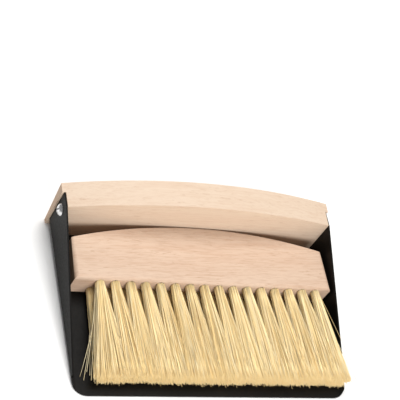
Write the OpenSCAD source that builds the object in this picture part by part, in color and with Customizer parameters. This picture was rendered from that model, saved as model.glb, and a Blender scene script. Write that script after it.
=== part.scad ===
// Dust pan and hand brush set: a folded steel pan with a beech handle bar screwed between its side
// walls, and a beech brush with two staggered rows of natural fibre tufts that lies in the pan.
// Millimetres, +Z up. Origin: middle of the set's footprint, on the table.
// Inside the modules, lengths are measured on the pan: X across from its middle, Y back from the
// front lip, Z up from the underside of its floor. The module placed() sets the pan on the table,
// where it leans forward so that its lip and the foot of the handle both touch.

/* [Pan] */

// Outer width of the pan
pan_w = 180; // [130:1:240]
// Length of the pan floor, from the front lip to the handle's back lip
pan_d = 118; // [95:1:160]
// Height of the side walls at the handle
wall_h = 31; // [26:0.5:45]
// Height of the side walls at their front end
wall_front_h = 4; // [2.5:0.5:10]
// Distance from the front lip to where the side walls start
wall_front_y = 11; // [10:0.5:20]
// Thickness of the sheet steel
steel_t = 1; // [0.6:0.1:1.5]
// Radius of the floor's two front corners
corner_r = 9; // [3:0.5:10]
// Height of the floor's back end above the table
rear_lift = 3.6; // [1:0.1:6]

/* [Handle] */

// Depth of the handle bar between the side walls
bar_d = 10.5; // [9:0.5:16]
// Thickness of the bar's back lip at its foot
lip_d = 2.7; // [2:0.1:5]
// How much further back the bar's back face stands at the top of the side walls
lean_d = 3; // [0:0.5:6]
// How far the back lip stands out beyond each side wall
lip_over = 1.2; // [0.4:0.1:3]
// How far the bar stands above the side walls at its two ends
bar_up = 0.5; // [0.2:0.1:3]
// Rise of the arched top from its ends to its middle
bar_arch = 9.9; // [4:0.5:14]
// Height of the two screws above the underside of the floor
screw_z = 21.5; // [14:0.5:23]
// Diameter of a screw head
screw_head_dia = 7.8; // [6:0.1:8.5]

/* [Brush] */

// Gap between each end of the brush block and the side wall beside it
side_gap = 2.65; // [2:0.05:4]
// Depth of the block at its ends
block_end_d = 27.8; // [22:0.5:32]
// Depth of the block at the top of its arch
block_mid_d = 39.5; // [34:0.5:46]
// Height of the block
block_h = 17.3; // [14.4:0.1:20]
// Diameter of a tuft where it leaves the block
tuft_dia = 5.5; // [4:0.1:6.6]
// Depth of the holes that hold the tufts
hole_depth = 11; // [8:0.5:14]
// Distance from the front lip to the trimmed ends of the fibres
tip_y = 7.5; // [2:0.5:20]
// Height of the fibres at their trimmed ends, both rows together
tip_h = 10.4; // [8:0.2:12]

/* [Hidden] */

tufts_per_row = 16;
rows = ["upper", "lower"];
sub_names = [
    for (row = rows)
        for (i = [1 : tufts_per_row])
            str(row, "_tuft_", i < 10 ? "0" : "", i)
];

$fn = 96;
// Reach of a cutting shape past the solid it cuts.
over = 1;
half_w = pan_w / 2;
inner_w = pan_w - 2 * steel_t;

// Lean of the pan: its lip and the foot of the handle stand on the table.
lean = atan(rear_lift / pan_d);

bend_r = 1;
bend_outer_r = bend_r + steel_t;

// Handle bar
bar_front_y = pan_d - bar_d;
foot_back_y = pan_d + lip_d;
bar_end_z = wall_h + bar_up;
back_slope = lean_d / wall_h;
// The top face rises a little towards the back.
top_pitch = 2.5;
end_x = inner_w / 2;
arch_r = (end_x * end_x + bar_arch * bar_arch) / (2 * bar_arch);
bar_top_z = bar_end_z + bar_arch;
lip_top_z = bar_top_z + 5;
bar_corner_r = bend_r + 0.3;

// Highest and rearmost point of the handle, and so the middle of the footprint
foot_z = -foot_back_y * tan(lean);
top_rise = tan(top_pitch);
apex_y = (foot_back_y + back_slope * (bar_top_z - top_rise * bar_front_y - foot_z))
    / (1 - back_slope * top_rise);
apex_z = bar_top_z + top_rise * (apex_y - bar_front_y);
back_most = apex_y * cos(lean) - apex_z * sin(lean);
front_most = -steel_t * sin(lean);
mid_y = (back_most + front_most) / 2;

// Screws
screw_y = bar_front_y + 4.4;
head_h = 2.4;
shank_r = 1.8;
shank_len = 18;
tip_len = 4;
tip_r = 0.2;
hole_play = 0.1;
wall_hole_r = shank_r + 0.4;
recess_len = 4.6;
recess_w = 0.9;
recess_depth = 1.5;

// Brush, where it lies in the pan
brush_clear = 0.3;
arch_clear = 0.8;
brush_shift = 1.05;
block_w = inner_w - 2 * side_gap;
block_back_w = block_w - 2.2;
block_z = steel_t + brush_clear;
block_back_y = bar_front_y - arch_clear;
face_y = block_back_y - block_mid_d;
block_arch = block_mid_d - block_end_d;
block_arch_r = (block_back_w * block_back_w / 4 + block_arch * block_arch) / (2 * block_arch);
// Rounding of the block: its front edge on top, its two ends on top, and its front edge below
front_edge_r = 2.6;
end_edge_r = 3;
foot_edge_r = 1;

// Tufts: index 0 is the upper row, index 1 the lower row
end_margin = 13.4;
pitch = (block_w - 2 * end_margin) / (tufts_per_row - 1);
row_drop = block_h / 4;
row_z = [block_z + block_h / 2 + row_drop, block_z + block_h / 2 - row_drop];
row_shift = [pitch * 0.305, pitch * 0.02];
// How far a tuft leans to the right between its hole and its trimmed end, and how much more the
// last tuft of a row does than the first
sweep = 4.8;
fan = 3.5;
// Where the two outer ends of a row stop, measured in from the inner faces of the walls
tip_left = [10.4, 13.8];
tip_right = [-0.8, 1.4];
tuft_gap = 0.3;
spread_at = 0.34;
plate_t = 0.2;
tip_z0 = steel_t + 0.7;
tip_low = [tip_z0 + tip_h / 2 + tuft_gap / 2, tip_z0];
tip_high = [tip_z0 + tip_h, tip_z0 + tip_h / 2 - tuft_gap / 2];
root_play = 0.05;
root_r = tuft_dia / 2 - root_play;
// Where a tuft leaves its hole, its spread part is a hair wider than its root.
flare_r = root_r + 0.04;

// Flat wire anchors that pin the folded fibres in the holes
staple_len = tuft_dia + 1.2;
staple_t = 0.4;
staple_w = 2.2;
staple_back = 2;

beech = [0.90, 0.77, 0.63];
black = [0.14, 0.14, 0.14];
steel = [0.78, 0.78, 0.80];
straw = [0.91, 0.82, 0.58];

function blend(a, b, s) = a + (b - a) * s;
function root_x(row, i) = brush_shift + row_shift[row] + (i - (tufts_per_row + 1) / 2) * pitch;
// Right edge of tuft i at its trimmed end; the first and the last tuft also fan out to the row's end.
function tip_edge(row, i) =
    i == 0 ? tip_left[row] - inner_w / 2
    : i == tufts_per_row ? inner_w / 2 - tip_right[row]
    : root_x(row, i + 0.5) + sweep + fan * i / tufts_per_row;
function tip_w(row, i) = tip_edge(row, i) - tip_edge(row, i - 1);
function tip_x(row, i) = (tip_edge(row, i) + tip_edge(row, i - 1)) / 2;

// Sets what is drawn on the pan onto the table.
module placed() {
    translate([0, -mid_y, 0])
        rotate([lean, 0, 0])
            children();
}

// A square corner with a quarter circle left standing, for rounding the corner at the origin.
module corner_cut(r) {
    difference() {
        translate([-over, -over])
            square([r + over, r + over]);
        translate([r, r])
            circle(r = r);
    }
}

// Extrudes a side view, drawn as (Y, Z), across the set's width.
module across(w) {
    translate([-w / 2, 0, 0])
        rotate([90, 0, 90])
            linear_extrude(height = w)
                children();
}

// Extrudes a front view, drawn as (X, Z), from y0 back to y1.
module along(y0, y1) {
    translate([0, y1, 0])
        rotate([90, 0, 0])
            linear_extrude(height = y1 - y0)
                children();
}

// A U section with round lower corners, open at the top.
module u_shape(w, h, r) {
    difference() {
        translate([-w / 2, 0])
            square([w, h]);
        for (s = [0, 1])
            mirror([s, 0])
                translate([-w / 2, 0])
                    corner_cut(r);
    }
}

module wall_outline() {
    polygon([
        [-over, -over],
        [pan_d + over, -over],
        [pan_d + over, wall_h],
        [bar_front_y, wall_h],
        [wall_front_y, wall_front_h],
        [wall_front_y, bend_outer_r],
        [-over, bend_outer_r]
    ]);
}

module floor_outline() {
    difference() {
        translate([-half_w, 0])
            square([pan_w, pan_d]);
        for (s = [0, 1])
            mirror([s, 0])
                translate([-half_w, 0])
                    corner_cut(corner_r);
    }
}

module pan_tray() {
    color(black)
        placed()
            difference() {
                intersection() {
                    along(0, pan_d)
                        difference() {
                            u_shape(pan_w, wall_h + over, bend_outer_r);
                            translate([0, steel_t])
                                u_shape(inner_w, wall_h + over, bend_r);
                        }
                    across(pan_w + 2 * over)
                        wall_outline();
                    translate([0, 0, -over])
                        linear_extrude(height = wall_h + 3 * over)
                            floor_outline();
                }
                translate([-half_w - over, screw_y, screw_z])
                    rotate([0, 90, 0])
                        cylinder(r = wall_hole_r, h = pan_w + 2 * over);
            }
}

// The back lip covers the steel's back edge on both sides and below, and its underside is the foot.
module lip_section() {
    polygon([
        [pan_d, -pan_d * tan(lean)],
        [foot_back_y, foot_z],
        [foot_back_y + back_slope * (lip_top_z - foot_z), lip_top_z],
        [pan_d, lip_top_z]
    ]);
}

module pan_handle() {
    color(beech)
        placed()
            difference() {
                intersection() {
                    union() {
                        along(bar_front_y, pan_d + over)
                            translate([0, steel_t])
                                u_shape(inner_w, lip_top_z, bar_corner_r);
                        across(pan_w + 2 * lip_over)
                            lip_section();
                    }
                    translate([0, bar_front_y, bar_end_z])
                        rotate([top_pitch, 0, 0])
                            translate([0, 2 * bar_d + 2 * lip_d, bar_arch - arch_r])
                                rotate([90, 0, 0])
                                    cylinder(r = arch_r, h = 4 * bar_d + 4 * lip_d, $fn = 720);
                }
                for (s = [0, 1])
                    mirror([s, 0, 0])
                        translate([half_w - shank_len - over, screw_y, screw_z])
                            rotate([0, 90, 0])
                                cylinder(r = shank_r + hole_play, h = shank_len + 2 * over);
            }
}

// A round-head wood screw, head up, with the underside of its head at the origin.
module wood_screw() {
    head_r = screw_head_dia / 2;
    dome_r = (head_r * head_r + head_h * head_h) / (2 * head_h);
    difference() {
        union() {
            intersection() {
                translate([0, 0, head_h - dome_r])
                    sphere(r = dome_r);
                cylinder(r = head_r + over, h = head_h + over);
            }
            translate([0, 0, tip_len - shank_len])
                cylinder(r = shank_r, h = shank_len - tip_len + over);
            translate([0, 0, -shank_len])
                cylinder(r1 = tip_r, r2 = shank_r, h = tip_len);
        }
        for (a = [0, 90])
            rotate([0, 0, a + 20])
                translate([-recess_len / 2, -recess_w / 2, head_h - recess_depth])
                    cube([recess_len, recess_w, recess_depth + over]);
    }
}

module handle_screws() {
    color(steel)
        placed()
            for (s = [0, 1])
                mirror([s, 0, 0])
                    translate([half_w, screw_y, screw_z])
                        rotate([0, 90, 0])
                            wood_screw();
}

// One wire anchor across its hole, near the bottom.
module staple(row, i) {
    translate([
        root_x(row, i) - staple_len / 2,
        face_y + hole_depth - staple_back - staple_t,
        row_z[row] - staple_w / 2
    ])
        cube([staple_len, staple_t, staple_w]);
}

module tuft_staples() {
    color(steel)
        placed()
            for (row = [0, 1])
                for (i = [1 : tufts_per_row])
                    staple(row, i);
}

module block_plan() {
    translate([brush_shift, 0])
        intersection() {
            polygon([
                [-block_w / 2, face_y],
                [block_w / 2, face_y],
                [block_back_w / 2, face_y + block_end_d],
                [block_back_w / 2, block_back_y + over],
                [-block_back_w / 2, block_back_y + over],
                [-block_back_w / 2, face_y + block_end_d]
            ]);
            translate([0, block_back_y - block_arch_r])
                circle(r = block_arch_r, $fn = 720);
        }
}

// Side view of the block: its two long front edges are rounded.
module block_side() {
    difference() {
        translate([face_y, block_z])
            square([block_mid_d + over, block_h]);
        translate([face_y, block_z])
            corner_cut(foot_edge_r);
        translate([face_y, block_z + block_h])
            mirror([0, 1])
                corner_cut(front_edge_r);
    }
}

// Front view of the block: the edges of its two ends are rounded on top.
module block_front() {
    translate([brush_shift, block_z + block_h])
        mirror([0, 1])
            u_shape(block_w, block_h + over, end_edge_r);
}

module brush_block() {
    color(beech)
        placed()
            difference() {
                intersection() {
                    translate([0, 0, block_z - over])
                        linear_extrude(height = block_h + 2 * over)
                            block_plan();
                    across(pan_w)
                        block_side();
                    along(face_y - over, block_back_y + 2 * over)
                        block_front();
                }
                for (row = [0, 1])
                    for (i = [1 : tufts_per_row]) {
                        translate([root_x(row, i), face_y - over, row_z[row]])
                            rotate([-90, 0, 0])
                                cylinder(r = tuft_dia / 2, h = hole_depth + over);
                        staple(row, i);
                    }
            }
}

// A thin upright plate, one section of a spread tuft; s runs from 0 at the block to 1 at the tip.
module tuft_section(row, i, s) {
    w = blend(pitch, tip_w(row, i), s) - tuft_gap;
    low = blend(row_z[row] - root_r, tip_low[row], s);
    high = blend(row_z[row] + root_r, tip_high[row], s);
    translate([
        blend(root_x(row, i), tip_x(row, i), s) - w / 2,
        blend(face_y, tip_y, s),
        low
    ])
        cube([w, plate_t, high - low]);
}

// One tuft: round in its hole, then spreading until it meets its neighbours.
module tuft(row, i) {
    color(straw)
        placed()
            difference() {
                union() {
                    translate([root_x(row, i), face_y + hole_depth, row_z[row]])
                        rotate([90, 0, 0])
                            cylinder(r = root_r, h = hole_depth + plate_t / 2);
                    hull() {
                        translate([root_x(row, i), face_y, row_z[row]])
                            rotate([90, 0, 0])
                                cylinder(r = flare_r, h = plate_t, $fn = 24);
                        tuft_section(row, i, spread_at);
                    }
                    hull() {
                        tuft_section(row, i, spread_at);
                        tuft_section(row, i, 1);
                    }
                }
                staple(row, i);
            }
}

pan_tray();
pan_handle();
handle_screws();
brush_block();
tuft_staples();
for (row = [0, 1])
    for (i = [1 : tufts_per_row])
        tuft(row, i);
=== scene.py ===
import math

import bpy
import numpy as np
from mathutils import Euler, Matrix, Vector

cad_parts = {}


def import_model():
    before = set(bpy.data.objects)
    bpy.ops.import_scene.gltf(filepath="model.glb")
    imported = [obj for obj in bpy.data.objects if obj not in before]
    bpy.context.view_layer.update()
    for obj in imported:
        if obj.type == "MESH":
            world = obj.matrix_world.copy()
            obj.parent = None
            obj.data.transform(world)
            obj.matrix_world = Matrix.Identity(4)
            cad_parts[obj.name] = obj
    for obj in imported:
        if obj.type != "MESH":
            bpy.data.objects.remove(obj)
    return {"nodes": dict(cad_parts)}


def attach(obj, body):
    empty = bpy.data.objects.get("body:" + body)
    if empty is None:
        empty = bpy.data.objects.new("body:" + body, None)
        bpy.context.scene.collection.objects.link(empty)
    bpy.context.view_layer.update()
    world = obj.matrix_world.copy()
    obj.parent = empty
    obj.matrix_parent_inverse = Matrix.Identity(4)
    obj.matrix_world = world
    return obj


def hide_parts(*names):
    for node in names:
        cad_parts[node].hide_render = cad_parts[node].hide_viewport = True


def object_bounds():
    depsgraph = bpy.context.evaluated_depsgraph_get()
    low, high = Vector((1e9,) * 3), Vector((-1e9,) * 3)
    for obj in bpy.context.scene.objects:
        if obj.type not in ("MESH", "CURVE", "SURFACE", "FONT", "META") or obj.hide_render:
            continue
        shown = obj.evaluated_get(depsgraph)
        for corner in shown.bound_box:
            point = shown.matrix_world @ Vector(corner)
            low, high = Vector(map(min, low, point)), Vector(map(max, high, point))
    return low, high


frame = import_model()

CAD_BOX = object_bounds()
MM = 0.001
rng = np.random.default_rng(41)
scene = bpy.context.scene


# ---------------------------------------------------------------- the pan's own axes
# As in part.scad, the tufts are measured on the pan in millimetres: X across from its middle,
# Y back from the front lip, Z up from the underside of its floor. The pan leans forward.
PAN_W, PAN_D, REAR_LIFT, STEEL_T = 180.0, 118.0, 3.6, 1.0
LEAN = math.atan(REAR_LIFT / PAN_D)
# The upper edge of the lip is the foremost place of the CAD model.
MID_Y = -CAD_BOX[0][1] / MM - STEEL_T * math.sin(LEAN)
PAN = Matrix.Translation((0, -MID_Y * MM, 0)) @ Matrix.Rotation(LEAN, 4, "X")


# ---------------------------------------------------------------- materials
class Nodes:
    """Short names for building a material's node tree. Colours are given as red, green, blue."""

    def __init__(self, name):
        self.mat = bpy.data.materials.new(name)
        self.mat.use_nodes = True
        self.tree = self.mat.node_tree
        self.tree.nodes.clear()
        out = self.add("ShaderNodeOutputMaterial")
        self.bsdf = self.add("ShaderNodeBsdfPrincipled")
        self.put(self.bsdf.outputs[0], out.inputs["Surface"])

    def add(self, kind, **props):
        node = self.tree.nodes.new(kind)
        for name, value in props.items():
            setattr(node, name, value)
        return node

    def put(self, value, socket):
        """Link another node's output to a socket, or set the socket to a constant."""
        if isinstance(value, bpy.types.NodeSocket):
            self.tree.links.new(value, socket)
        elif socket.type == "RGBA":
            socket.default_value = (*value, 1)
        else:
            socket.default_value = value

    def shade(self, name, value):
        """Set one input of the shader."""
        self.put(value, self.bsdf.inputs[name])

    def mapped(self, vector, scale=(1, 1, 1), turn=(0, 0, 0), shift=(0, 0, 0)):
        mapping = self.add("ShaderNodeMapping")
        mapping.inputs["Scale"].default_value = scale
        mapping.inputs["Rotation"].default_value = turn
        mapping.inputs["Location"].default_value = shift
        self.put(vector, mapping.inputs["Vector"])
        return mapping.outputs["Vector"]

    def coords(self, **how):
        return self.mapped(self.add("ShaderNodeTexCoord").outputs["Object"], **how)

    def noise(self, vector, scale=1.0, detail=2.0, rough=0.5, distortion=0.0):
        noise = self.add("ShaderNodeTexNoise")
        noise.inputs["Scale"].default_value = scale
        noise.inputs["Detail"].default_value = detail
        noise.inputs["Roughness"].default_value = rough
        noise.inputs["Distortion"].default_value = distortion
        self.put(vector, noise.inputs["Vector"])
        return noise.outputs["Fac"]

    def span(self, value, lo, hi, to_lo=0.0, to_hi=1.0):
        """Bring the range lo to hi to the range to_lo to to_hi, cut off at its ends."""
        spread = self.add("ShaderNodeMapRange", clamp=True)
        self.put(value, spread.inputs["Value"])
        spread.inputs["From Min"].default_value = lo
        spread.inputs["From Max"].default_value = hi
        spread.inputs["To Min"].default_value = to_lo
        spread.inputs["To Max"].default_value = to_hi
        return spread.outputs["Result"]

    def calc(self, operation, a, b=0.0):
        calc = self.add("ShaderNodeMath", operation=operation)
        self.put(a, calc.inputs[0])
        self.put(b, calc.inputs[1])
        return calc.outputs[0]

    def mix(self, fac, a, b):
        mix = self.add("ShaderNodeMix", data_type="RGBA")
        colour_a, colour_b = [s for s in mix.inputs if s.type == "RGBA"]
        self.put(fac, mix.inputs["Factor"])
        self.put(a, colour_a)
        self.put(b, colour_b)
        return [s for s in mix.outputs if s.type == "RGBA"][0]

    def ramp(self, fac, stops):
        ramp = self.add("ShaderNodeValToRGB")
        elements = ramp.color_ramp.elements
        while len(elements) < len(stops):
            elements.new(0.5)
        for element, (position, colour) in zip(elements, stops):
            element.position = position
            element.color = (*colour, 1)
        self.put(fac, ramp.inputs["Fac"])
        return ramp.outputs["Color"]

    def bump(self, height, strength, distance, normal=None):
        bump = self.add("ShaderNodeBump")
        bump.inputs["Strength"].default_value = strength
        bump.inputs["Distance"].default_value = distance
        self.put(height, bump.inputs["Height"])
        if normal is not None:
            self.put(normal, bump.inputs["Normal"])
        return bump.outputs["Normal"]


# Each beech has its pale wood, its warmer bands and its darkest grain.
PALE_BEECH = (0.850, 0.672, 0.515), (0.805, 0.610, 0.455), (0.690, 0.480, 0.335)
PINK_BEECH = (0.800, 0.590, 0.440), (0.740, 0.515, 0.370), (0.580, 0.365, 0.240)
RAY_FLECK = (0.50, 0.29, 0.17)
SAWN_PORE, SAWN_WOOD = (0.50, 0.31, 0.19), (0.70, 0.49, 0.33)


def beech(name, shift, turn, tones, figure, light):
    """Planed beech with its grain along X: soft bands, fine pores and short dark ray flecks.

    Figure is the strength of the grain, and light dims all the colours alike.
    """
    m = Nodes(name)
    here = m.coords(turn=turn, shift=shift)

    def dimmed(colour):
        return tuple(c * light for c in colour)

    pale, warm, deep = [dimmed(tone) for tone in tones]
    wide = m.noise(m.mapped(here, (5, 70, 70)), 1, 2, 0.5, 0.3)
    bands = m.noise(m.mapped(here, (16, 260, 260)), 1, 3, 0.55, 0.8)
    fine = m.noise(m.mapped(here, (100, 1150, 1150)), 1, 3, 0.6, 0.6)
    base = m.ramp(m.span(bands, 0.3, 0.7), [(0.0, warm), (0.55, pale), (1.0, pale)])
    base = m.mix(m.span(wide, 0.42, 0.72, 0, 0.45), base, warm)
    base = m.mix(m.span(fine, 0.46, 0.70, 0, figure), base, deep)

    # The flecks are close together in some places and rare in others.
    fleck = m.noise(m.mapped(here, (190, 1250, 1250)), 1, 2, 0.5, 0.4)
    crowd = m.noise(m.mapped(here, (30, 120, 120)), 1, 2, 0.5)
    marks = m.calc("MULTIPLY", m.span(fleck, 0.60, 0.72), m.span(crowd, 0.4, 0.62, 0.25, 1.0))
    base = m.mix(m.calc("MULTIPLY", marks, figure), base, dimmed(RAY_FLECK))

    # Sawn ends: darker, with open pores.
    facing = m.add("ShaderNodeSeparateXYZ")
    m.put(m.add("ShaderNodeNewGeometry").outputs["Normal"], facing.inputs[0])
    end = m.span(m.calc("ABSOLUTE", facing.outputs[0]), 0.75, 0.95)
    pores = m.noise(m.coords(), 2600, 2, 0.6)
    sawn = m.mix(m.span(pores, 0.35, 0.7), dimmed(SAWN_PORE), dimmed(SAWN_WOOD))
    m.shade("Base Color", m.mix(m.calc("MULTIPLY", end, 0.75), base, sawn))

    m.shade("Roughness", m.span(fine, 0.3, 0.8, 0.50, 0.66))
    m.shade("Specular IOR Level", 0.35)
    m.shade("Normal", m.bump(marks, 0.35, 0.00012, m.bump(fine, 0.25, 0.00008)))
    return m.mat


def powder_black():
    """Black powder coat: satin, with the fine orange peel of the sprayed film and a little dust."""
    m = Nodes("powder_black")
    at = m.coords()
    cloud = m.noise(at, 14, 3, 0.5)
    grit = m.noise(at, 2100, 2, 0.6)
    peel = m.noise(at, 700, 2, 0.5)
    dust = m.noise(at, 900, 4, 0.75)
    base = m.mix(m.span(cloud, 0.35, 0.7), (0.0056, 0.0050, 0.0044), (0.0082, 0.0073, 0.0064))
    m.shade("Base Color", m.mix(m.span(dust, 0.72, 0.80, 0, 0.30), base, (0.075, 0.071, 0.066)))
    m.shade("Roughness", m.span(peel, 0.3, 0.7, 0.42, 0.54))
    m.shade("Specular IOR Level", 0.085)
    m.shade("Normal", m.bump(grit, 0.22, 0.00004, m.bump(peel, 0.20, 0.00008)))
    return m.mat


def zinc(name, tone):
    """Bright plated steel, a little dulled and scratched."""
    m = Nodes(name)
    cloud = m.noise(m.coords(), 500, 3, 0.6)
    scratches = m.noise(m.coords(scale=(900, 5200, 900)), 1, 2, 0.6)
    bright = (tone, tone, tone * 1.02)
    dull = (tone * 0.78, tone * 0.77, tone * 0.76)
    m.shade("Base Color", m.mix(m.span(cloud, 0.35, 0.7), bright, dull))
    m.shade("Metallic", 1.0)
    m.shade("Roughness", m.span(scratches, 0.3, 0.8, 0.18, 0.38))
    m.shade("Normal", m.bump(scratches, 0.15, 0.00003))
    return m.mat


def plant_fibre():
    """Stiff pale plant fibre. The mesh carries each fibre's tone and the place along its length."""
    m = Nodes("plant_fibre")
    carried = m.add("ShaderNodeSeparateColor")
    m.put(m.add("ShaderNodeAttribute", attribute_name="fibre").outputs["Color"], carried.inputs[0])
    tone, along = carried.outputs[0], carried.outputs[1]
    streak = m.noise(m.coords(scale=(1500, 120, 1500)), 1, 2, 0.6)
    mixed = m.calc("ADD", tone, m.span(streak, 0.3, 0.7, -0.13, 0.13))
    colour = m.ramp(mixed, [
        (0.00, (0.58, 0.315, 0.090)),
        (0.16, (0.88, 0.585, 0.230)),
        (0.40, (0.98, 0.735, 0.340)),
        (0.72, (1.00, 0.792, 0.405)),
        (1.00, (1.00, 0.860, 0.550)),
    ])
    trimmed_end = m.span(along, 0.90, 0.99, 0.0, 0.72)
    m.shade("Base Color", m.mix(trimmed_end, colour, (0.78, 0.57, 0.25)))
    m.shade("Roughness", m.span(streak, 0.3, 0.7, 0.34, 0.50))
    m.shade("Specular IOR Level", 0.55)
    m.shade("Sheen Weight", 0.40)
    m.shade("Sheen Roughness", 0.45)
    m.shade("Sheen Tint", (1.0, 0.84, 0.55))
    m.shade("Normal", m.bump(streak, 0.2, 0.00004))
    return m.mat


MAT_BAR = beech("beech_bar", (0.31, 0.02, 0.07), (0.0, 0.012, 0.010), PALE_BEECH, 0.36, 0.82)
MAT_BLOCK = beech("beech_block", (-0.22, 0.13, -0.05), (0.15, -0.010, -0.030), PINK_BEECH, 0.52, 0.805)
MAT_PAN = powder_black()
MAT_SCREW = zinc("zinc_screw", 0.86)
MAT_WIRE = zinc("wire", 0.5)
MAT_FIBRE = plant_fibre()


# ---------------------------------------------------------------- carried-over CAD nodes
FLAT_WITHIN, SHARP_OVER = math.radians(0.5), math.radians(35)
BEVEL_SEGMENTS = 4


def dress(node, material, edge=0.0):
    """A CAD node keeps its shape. Its flat faces are joined up, and its edges are eased a little."""
    o = frame["nodes"][node]
    for slot in o.material_slots:
        slot.material = material
    if not o.material_slots:
        o.data.materials.append(material)
    if edge:
        flat = o.modifiers.new("flat_faces", "DECIMATE")
        flat.decimate_type = "DISSOLVE"
        flat.angle_limit = FLAT_WITHIN
        eased = o.modifiers.new("eased_edges", "BEVEL")
        eased.width = edge
        eased.segments = BEVEL_SEGMENTS
        eased.limit_method = "ANGLE"
        eased.angle_limit = SHARP_OVER
        eased.harden_normals = True


dress("pan_tray", MAT_PAN, 0.00018)
dress("pan_handle", MAT_BAR, 0.0007)
dress("brush_block", MAT_BLOCK, 0.0003)
dress("handle_screws", MAT_SCREW, 0.00008)
dress("tuft_staples", MAT_WIRE)


# ---------------------------------------------------------------- fibre tufts
# The same lengths as in part.scad, in millimetres on the pan's axes.
ROW_N = 16
BAR_D, ARCH_CLEAR, BLOCK_MID_D, BLOCK_H = 10.5, 0.8, 39.5, 17.3
SIDE_GAP, BRUSH_CLEAR, SHIFT_X, END_MARGIN = 2.65, 0.3, 1.05, 13.4
TUFT_DIA, TUFT_GAP, TIP_Y, TIP_H, TIP_CLEAR = 5.5, 0.3, 7.5, 10.4, 0.7
SWEEP, FAN = 4.8, 3.5
INNER_W = PAN_W - 2 * STEEL_T
BLOCK_W = INNER_W - 2 * SIDE_GAP
BLOCK_Z = STEEL_T + BRUSH_CLEAR
FACE_Y = PAN_D - BAR_D - ARCH_CLEAR - BLOCK_MID_D
PITCH = (BLOCK_W - 2 * END_MARGIN) / (ROW_N - 1)
TIP_LOW = STEEL_T + TIP_CLEAR
TIP_MID = TIP_LOW + TIP_H / 2

# For each row: the height of its holes, its shift in pitches, how far its outermost tips are from
# the side walls, and the lowest and highest of its trimmed ends.
ROWS = {
    "upper": dict(
        z=BLOCK_Z + 0.75 * BLOCK_H, shift=0.305, left=10.4, right=-0.8,
        low=TIP_MID + TUFT_GAP / 2, high=TIP_LOW + TIP_H,
    ),
    "lower": dict(
        z=BLOCK_Z + 0.25 * BLOCK_H, shift=0.02, left=13.8, right=1.4,
        low=TIP_LOW, high=TIP_MID - TUFT_GAP / 2,
    ),
}

# How the fibres are made. The first tuft of a row is wider, so it has more of them.
FIBRES = 300
FIRST_TUFT_MORE = 1.3
RINGS, SIDES = 7, 3
# Their points are a little closer together near the hole.
RING_EASE = 1.15
FIBRE_R, LOOSE_R = (0.125, 0.215), 0.17
# A fibre's radius where it leaves the hole, and what it loses on its way, as shares.
ROOT_THICK, TAPER = 1.05, 0.22
# The fibres stay inside their hole's wall, and start this deep in the hole.
ROOT_R = TUFT_DIA / 2 - 0.09
ROOT_INSIDE = 1.2
# On the map, each fibre's strip stays clear of its neighbours by these shares of it.
MAP_COLUMNS = 64
INSET_ACROSS, INSET_UP = 0.15, 0.05

# How the fibres differ: a pair is the least and the most, and one value a standard deviation.
TUFT_LEAN, TUFT_LENGTH, TUFT_TONE = 0.25, 0.25, 0.03
LEAN_Z_SHARE = 0.3
SPREAD_PITCHES = (0.60, 0.72)
FILLED_HEIGHT = 0.92
SCATTER_X, SCATTER_Y, SCATTER_Z = 0.55, 0.40, 0.30
BOW_X, BOW_Z = 0.40, 0.25
LONG_SHARE, LONG_BY = 0.025, (0.4, 1.8)
SHORT_SHARE, SHORT_BY = 0.05, (1, 7)
ASTRAY_SHARE, ASTRAY_X, ASTRAY_Z = 0.018, 3.2, 1.6
CUT_ASKEW = 0.15
TONE, TONE_BY = 0.74, 0.19
# Room above the steel, for the trimmed ends and for the whole fibres, and beside the side wall.
END_ROOM, FIBRE_ROOM, WALL_ROOM = 0.45, 0.40, 0.6

# Single long fibres swing out beside these tufts: to the left, and less far to the right. Each has
# its swing, and how far short of the other trimmed ends it stops. They start ever nearer the
# middle height of their hole.
LOOSE_AT = {("lower", 1), ("upper", 1), ("upper", ROW_N)}
LOOSE_SWING, LOOSE_SHORT = (8.2, 4.4, 1.4), (0.5, 3.5, -1.5)
LOOSE_LEFT, LOOSE_RIGHT = -1, 0.6
LOOSE_FROM, LOOSE_EASE, LOOSE_NEARER = 0.30, 1.3, 0.4


def tuft_ends(row, i):
    """Where a tuft's hole is, and where its leftmost and rightmost tips end, across the pan."""
    p = ROWS[row]
    root_x = SHIFT_X + (p["shift"] + i - (ROW_N + 1) / 2) * PITCH
    left = root_x - PITCH / 2 + SWEEP + FAN * (i - 1) / ROW_N
    right = root_x + PITCH / 2 + SWEEP + FAN * i / ROW_N
    if i == 1:
        left = p["left"] - INNER_W / 2
    if i == ROW_N:
        right = INNER_W / 2 - p["right"]
    return root_x, left, right


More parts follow.
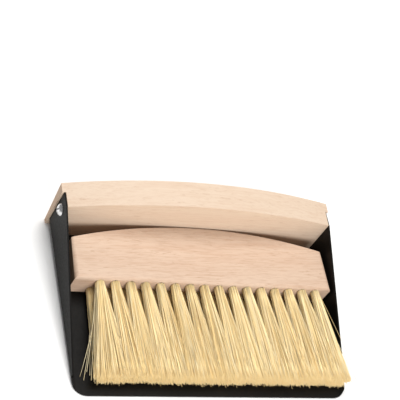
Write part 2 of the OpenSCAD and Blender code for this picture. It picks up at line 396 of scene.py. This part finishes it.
def fibre_lines(row, i):
    """Points along each fibre of a tuft: packed in their hole, they spread to the next tufts.

    Gives X, Y and Z with a row for each fibre, how far along its length each point is, and which
    fibres are loose.
    """
    p = ROWS[row]
    root_x, left, right = tuft_ends(row, i)
    middle_x = (left + right) / 2
    first, last = i == 1, i == ROW_N
    n = round(FIBRES * (FIRST_TUFT_MORE if first else 1))

    # Places in a square, and the same places in the round hole.
    a, b = rng.uniform(-1, 1, (2, n))
    hole_x = ROOT_R * a * np.sqrt(1 - b * b / 2)
    hole_z = ROOT_R * b * np.sqrt(1 - a * a / 2)

    # Each tuft has its own small lean and width, so the row isn't a comb.
    lean_x, lean_z = rng.normal(0, TUFT_LEAN, 2)
    spread = rng.uniform(*SPREAD_PITCHES) * PITCH
    reach_left = middle_x - left if first else spread
    reach_right = right - middle_x if last else right - middle_x - PITCH / 2 + spread
    end_x = middle_x + a * np.where(a < 0, reach_left, reach_right) + rng.normal(0, SCATTER_X, n)
    if not (first or last):
        end_x += lean_x
    half_h = FILLED_HEIGHT * (p["high"] - p["low"]) / 2
    middle_z = (p["low"] + p["high"]) / 2 + LEAN_Z_SHARE * lean_z
    end_z = middle_z + b * half_h + rng.normal(0, SCATTER_Z, n)
    end_y = TIP_Y + rng.normal(0, SCATTER_Y, n) + TUFT_LENGTH * rng.normal()

    # A few fibres are longer or shorter, and a few break out of the tuft.
    is_long = rng.random(n) < LONG_SHARE
    end_y -= is_long * rng.uniform(*LONG_BY, n)
    is_short = rng.random(n) < SHORT_SHARE
    end_y += is_short * rng.uniform(*SHORT_BY, n)
    astray = rng.random(n) < ASTRAY_SHARE
    end_x += astray * rng.normal(0, ASTRAY_X, n)
    end_z += astray * np.abs(rng.normal(0, ASTRAY_Z, n))

    # The loose ones start from the tuft's outermost fibre.
    swing = np.zeros(n)
    if (row, i) in LOOSE_AT:
        swing[:len(LOOSE_SWING)] = np.array(LOOSE_SWING) * (LOOSE_LEFT if first else LOOSE_RIGHT)
        outermost = int(np.argmin(a) if first else np.argmax(a))
        for k, short in enumerate(LOOSE_SHORT):
            hole_x[k] = hole_x[outermost]
            hole_z[k] = hole_z[outermost] * (1 - LOOSE_NEARER * k)
            end_x[k] = end_x[outermost]
            end_z[k] = end_z[outermost]
            end_y[k] = TIP_Y + short
    if row == "lower":
        # The lower row ends inside the side wall, and the upper row hangs over it.
        end_x = np.minimum(end_x, INNER_W / 2 - WALL_ROOM)
    end_z = np.maximum(end_z, STEEL_T + END_ROOM)

    bow_x = rng.normal(0, BOW_X, n)
    bow_z = rng.normal(0, BOW_Z, n)
    root_y = FACE_Y + ROOT_INSIDE
    Y = root_y + (end_y[:, None] - root_y) * np.linspace(0, 1, RINGS) ** RING_EASE
    along = np.clip((FACE_Y - Y) / (FACE_Y - TIP_Y), 0, 1)
    bow = np.sin(math.pi * along)
    swung = np.clip((along - LOOSE_FROM) / (1 - LOOSE_FROM), 0, 1) ** LOOSE_EASE
    X = (root_x + hole_x)[:, None] * (1 - along) + end_x[:, None] * along
    X += bow_x[:, None] * bow + swing[:, None] * swung
    Z = (p["z"] + hole_z)[:, None] * (1 - along) + end_z[:, None] * along
    Z += bow_z[:, None] * bow
    return X, Y, np.maximum(Z, STEEL_T + FIBRE_ROOM), along, swing != 0


def fibre_mesh(name, X, Y, Z, along, loose):
    """Three-sided fibres round the given points, as one mesh with their tones as point colours."""
    n = len(X)
    radius = rng.uniform(*FIBRE_R, n)
    radius[loose] = LOOSE_R
    R = radius[:, None] * (ROOT_THICK - TAPER * along)
    turn = rng.uniform(0, 2 * math.pi, n)[:, None]
    verts = np.empty((n, RINGS, SIDES, 3))
    for s in range(SIDES):
        angle = turn + 2 * math.pi * s / SIDES
        verts[:, :, s, 0] = X + R * np.cos(angle)
        verts[:, :, s, 1] = Y
        verts[:, :, s, 2] = Z + R * np.sin(angle)
    # The trimmed end is cut a little askew.
    verts[:, -1, :, 1] += rng.uniform(-CUT_ASKEW, CUT_ASKEW, (n, SIDES))
    placed = (verts.reshape(-1, 3) * MM) @ np.array(PAN.to_3x3()).T + np.array(PAN.translation)

    per_fibre = RINGS * SIDES
    start = np.arange(n) * per_fibre
    ring = (np.arange(RINGS - 1) * SIDES)[:, None]
    side = np.arange(SIDES)
    beside = (side + 1) % SIDES
    corners = [ring + side, ring + beside, ring + SIDES + beside, ring + SIDES + side]
    walls = np.stack([start[:, None, None] + c for c in corners], -1).reshape(-1, 4)
    tips = start[:, None] + per_fibre - SIDES + side
    roots = start[:, None] + side[::-1]
    me = bpy.data.meshes.new(name)
    me.from_pydata(placed.tolist(), [], walls.tolist() + tips.tolist() + roots.tolist())

    tone = np.clip(rng.normal(TONE, TONE_BY, n) + TUFT_TONE * rng.normal(), 0, 1)
    tone[loose] = 1
    colours = np.ones((n, RINGS, SIDES, 4), np.float32)
    colours[..., 0] = tone[:, None, None]
    colours[..., 1] = along[:, :, None]
    # Each fibre also has a number of its own, which no material uses yet.
    colours[..., 2] = rng.random(n)[:, None, None]
    me.color_attributes.new("fibre", "FLOAT_COLOR", "POINT").data.foreach_set("color", colours.ravel())
    map_fibres(me, n)
    me.update()
    me.shade_smooth()
    return me


def map_fibres(me, n):
    """One strip of the map for each fibre, so that its colours survive on a texture."""
    loops = np.empty(len(me.loops), np.int32)
    me.loops.foreach_get("vertex_index", loops)
    fibre, point = np.divmod(loops, RINGS * SIDES)
    ring, side = np.divmod(point, SIDES)
    in_strip_x = INSET_ACROSS + (1 - 2 * INSET_ACROSS) * side / SIDES
    in_strip_y = INSET_UP + (1 - 2 * INSET_UP) * ring / (RINGS - 1)
    across = (fibre % MAP_COLUMNS + in_strip_x) / MAP_COLUMNS
    up = (fibre // MAP_COLUMNS + in_strip_y) / math.ceil(n / MAP_COLUMNS)
    layer = me.uv_layers.new(name="OFBake")
    layer.uv.foreach_set("vector", np.stack([across, up], -1).astype(np.float32).ravel())


def tuft(row, i):
    """One tuft's fibres, in place of its CAD solid."""
    name = f"{row}_fibres_{i:02d}"
    o = bpy.data.objects.new(name, fibre_mesh(name, *fibre_lines(row, i)))
    o.data.materials.append(MAT_FIBRE)
    scene.collection.objects.link(o)
    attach(o, "brush")
    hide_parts(f"{row}_tuft_{i:02d}")


for row in ROWS:
    for i in range(1, ROW_N + 1):
        tuft(row, i)


# ---------------------------------------------------------------- floor, light, camera
FLOOR_HALF = 6.0
FLOOR_TONES = (0.96, 0.96, 0.957), (0.98, 0.98, 0.977)
WORLD_LIGHT = 0.27
CAMERA_AT = (-0.34623, -0.39172, 0.63900)
CAMERA_DEGREES = (37.946, -22.337, -11.632)
LENS, SENSOR_W = 119.43, 36


def floor():
    m = Nodes("pale_floor")
    m.shade("Base Color", m.mix(m.noise(m.coords(), 9, 2), *FLOOR_TONES))
    m.shade("Roughness", 0.75)
    m.shade("Specular IOR Level", 0.2)
    me = bpy.data.meshes.new("floor")
    corners = [(-1, -1), (1, -1), (1, 1), (-1, 1)]
    me.from_pydata([(x * FLOOR_HALF, y * FLOOR_HALF, 0) for x, y in corners], [], [(0, 1, 2, 3)])
    me.materials.append(m.mat)
    o = bpy.data.objects.new("floor", me)
    scene.collection.objects.link(o)


def disk_light(name, place, aim, size, power, colour):
    light = bpy.data.lights.new(name, "AREA")
    light.shape = "DISK"
    light.size = size
    light.energy = power
    light.color = colour
    o = bpy.data.objects.new(name, light)
    o.location = place
    o.rotation_euler = (Vector(aim) - Vector(place)).to_track_quat("-Z", "Y").to_euler()
    scene.collection.objects.link(o)


def world():
    w = bpy.data.worlds.new("studio")
    w.use_nodes = True
    background = w.node_tree.nodes["Background"]
    background.inputs["Color"].default_value = (1, 1, 1, 1)
    background.inputs["Strength"].default_value = WORLD_LIGHT
    scene.world = w


def camera():
    cam = bpy.data.cameras.new("camera")
    cam.sensor_width = SENSOR_W
    cam.lens = LENS
    o = bpy.data.objects.new("camera", cam)
    o.location = CAMERA_AT
    o.rotation_euler = Euler([math.radians(v) for v in CAMERA_DEGREES], "XYZ")
    scene.collection.objects.link(o)
    scene.camera = o


floor()
disk_light("key", (0.06, 0.40, 1.15), (0, 0, 0), 0.85, 12.9, (1.0, 0.99, 0.975))
disk_light("front", (0.02, -1.10, 0.50), (0, 0, 0.01), 0.60, 11.2, (1.0, 0.99, 0.98))
world()
camera()
scene.view_settings.view_transform = "Standard"

bpy.context.view_layer.update()
